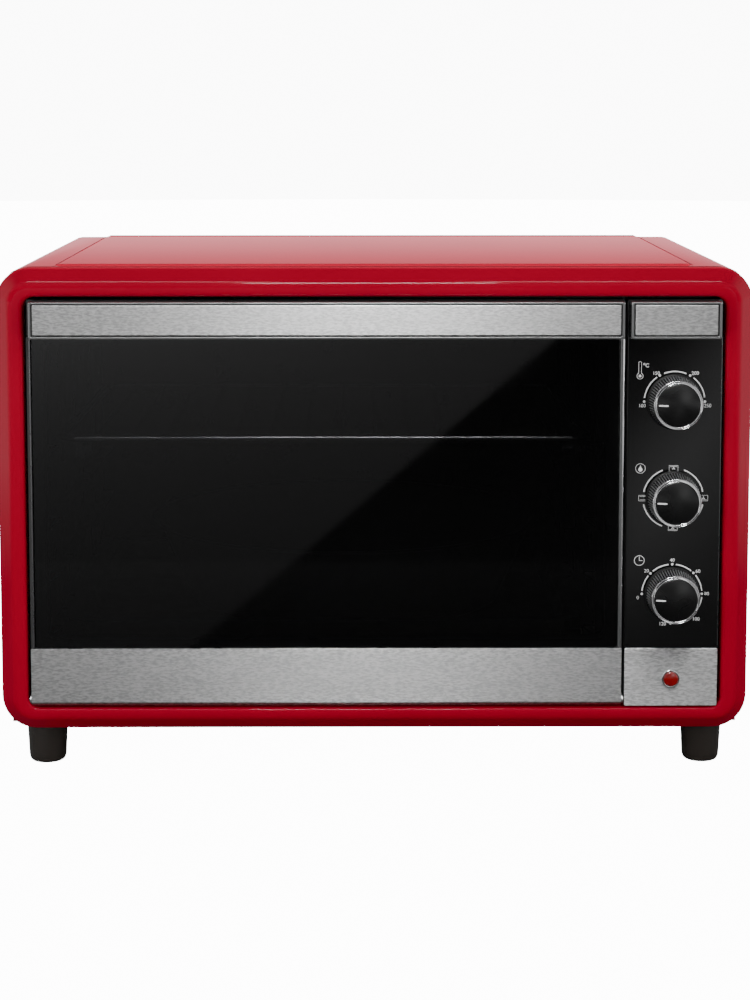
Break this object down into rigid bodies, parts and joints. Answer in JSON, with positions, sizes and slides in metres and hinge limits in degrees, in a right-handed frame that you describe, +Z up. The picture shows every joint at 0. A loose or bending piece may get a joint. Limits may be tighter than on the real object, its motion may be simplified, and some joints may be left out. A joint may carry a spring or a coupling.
{
  "type": "mini oven",
  "caption": "Countertop electric oven with a drop-down glass door, a knob panel at its right, a wire rack, a tray and a round pan.",
  "frame": {"origin": "on the surface that the feet stand on, below the middle of the whole oven", "axes": "+Z up, the door and knobs face -Y, +X to the right of someone who faces the oven"},
  "size_m": [0.565, 0.428, 0.383],
  "materials": {
    "red_frame": "gloss red paint",
    "red_shell": "satin red paint",
    "plated_sheet": "zinc-plated sheet",
    "machinery": "plated steel",
    "feet": "gloss black-brown",
    "black_enamel": "black enamel",
    "brushed_plate": "fine horizontal brushing",
    "bright_trim": "polished",
    "bright_wire": "chrome-plated wire",
    "door_glass": "dark tempered glass",
    "fascia": "gloss black",
    "grey_bezel": "gloss dark grey",
    "black_plastic": "matt black",
    "knob_silver": "silver-plated, knurled",
    "knob_face": "gloss black",
    "lamp_lens": "clear red",
    "ceramic": "steatite",
    "heater_tube": "oxidised steel tube",
    "pan_coating": "dark non-stick coating"
  },
  "bodies": {
    "cabinet": {"base_plate": "plated_sheet", "cavity_liner": "black_enamel", "control_fascia": "fascia", "face_plate": "black_enamel", "fan_guard": "black_enamel", "fan_motor": "machinery", "fan_shroud": "plated_sheet", "foot_front_left": "feet", "foot_front_right": "feet", "foot_rear_left": "feet", "foot_rear_right": "feet", "front_frame": "red_frame", "hinge_bracket_left": "plated_sheet", "hinge_bracket_right": "plated_sheet", "lower_heater": "heater_tube", "lower_heater_front_bush": "ceramic", "lower_heater_rear_bush": "ceramic", "mains_inlet": "black_plastic", "mode_switch": "ceramic", "panel_bottom_plate": "brushed_plate", "panel_housing": "black_plastic", "panel_top_bezel": "grey_bezel", "panel_top_plate": "brushed_plate", "rear_cover": "plated_sheet", "rotisserie_motor": "machinery", "rotisserie_support": "bright_wire", "signal_bezel": "bright_trim", "signal_lens": "lamp_lens", "thermostat": "machinery", "timer": "ceramic", "upper_heater": "heater_tube", "upper_heater_front_bush": "ceramic", "upper_heater_rear_bush": "ceramic", "wrap_shell": "red_shell"},
    "door": {"door_frame": "black_enamel", "door_glass": "door_glass", "door_trim_left": "bright_trim", "door_trim_right": "bright_trim", "door_plate": "brushed_plate", "door_handle": "grey_bezel", "handle_plate": "brushed_plate", "hinge_pin_left": "bright_trim", "hinge_pin_right": "bright_trim"},
    "temperature_control": {"temperature_knob": "knob_silver", "temperature_knob_ring": "bright_trim", "temperature_knob_cap": "knob_face", "temperature_shaft": "machinery"},
    "mode_control": {"mode_knob": "knob_silver", "mode_knob_ring": "bright_trim", "mode_knob_cap": "knob_face", "mode_shaft": "machinery"},
    "timer_control": {"timer_knob": "knob_silver", "timer_knob_ring": "bright_trim", "timer_knob_cap": "knob_face", "timer_shaft": "machinery"},
    "fan": {"fan_wheel": "bright_wire"},
    "rotisserie_drive": {"rotisserie_socket": "bright_wire"},
    "rack": {"wire_rack": "bright_wire"},
    "tray": {"baking_tray": "pan_coating", "cake_pan": "pan_coating"}
  },
  "joints": [
    {"name": "door_hinge", "type": "hinge", "parent": "cabinet", "child": "door", "pos_m": [0, -0.1842, 0.0559], "axis": [1, 0, 0], "range_deg": [0, 90]},
    {"name": "temperature_turn", "type": "hinge", "parent": "cabinet", "child": "temperature_control", "pos_m": [0.22335, -0.189, 0.28363], "axis": [0, 1, 0], "range_deg": [0, 180]},
    {"name": "mode_turn", "type": "hinge", "parent": "cabinet", "child": "mode_control", "pos_m": [0.22335, -0.189, 0.21075], "axis": [0, 1, 0], "range_deg": [0, 270]},
    {"name": "timer_turn", "type": "hinge", "parent": "cabinet", "child": "timer_control", "pos_m": [0.22335, -0.189, 0.13784], "axis": [0, 1, 0], "range_deg": [0, 270]},
    {"name": "fan_spin", "type": "hinge", "parent": "cabinet", "child": "fan", "pos_m": [0.168, 0.0057, 0.3], "axis": [1, 0, 0], "continuous": true},
    {"name": "rotisserie_spin", "type": "hinge", "parent": "cabinet", "child": "rotisserie_drive", "pos_m": [0.168, 0.0057, 0.21896], "axis": [1, 0, 0], "continuous": true},
    {"name": "rack_slide", "type": "slide", "parent": "cabinet", "child": "rack", "axis": [0, -1, 0], "range_m": [0, 0.173]},
    {"name": "tray_slide", "type": "slide", "parent": "cabinet", "child": "tray", "axis": [0, -1, 0], "range_m": [0, 0.079]}
  ],
  "couplings": [
    {"joint": "rack_slide", "follows": "door_hinge", "m_per_rad": 0.11},
    {"joint": "tray_slide", "follows": "door_hinge", "m_per_rad": 0.05}
  ]
}
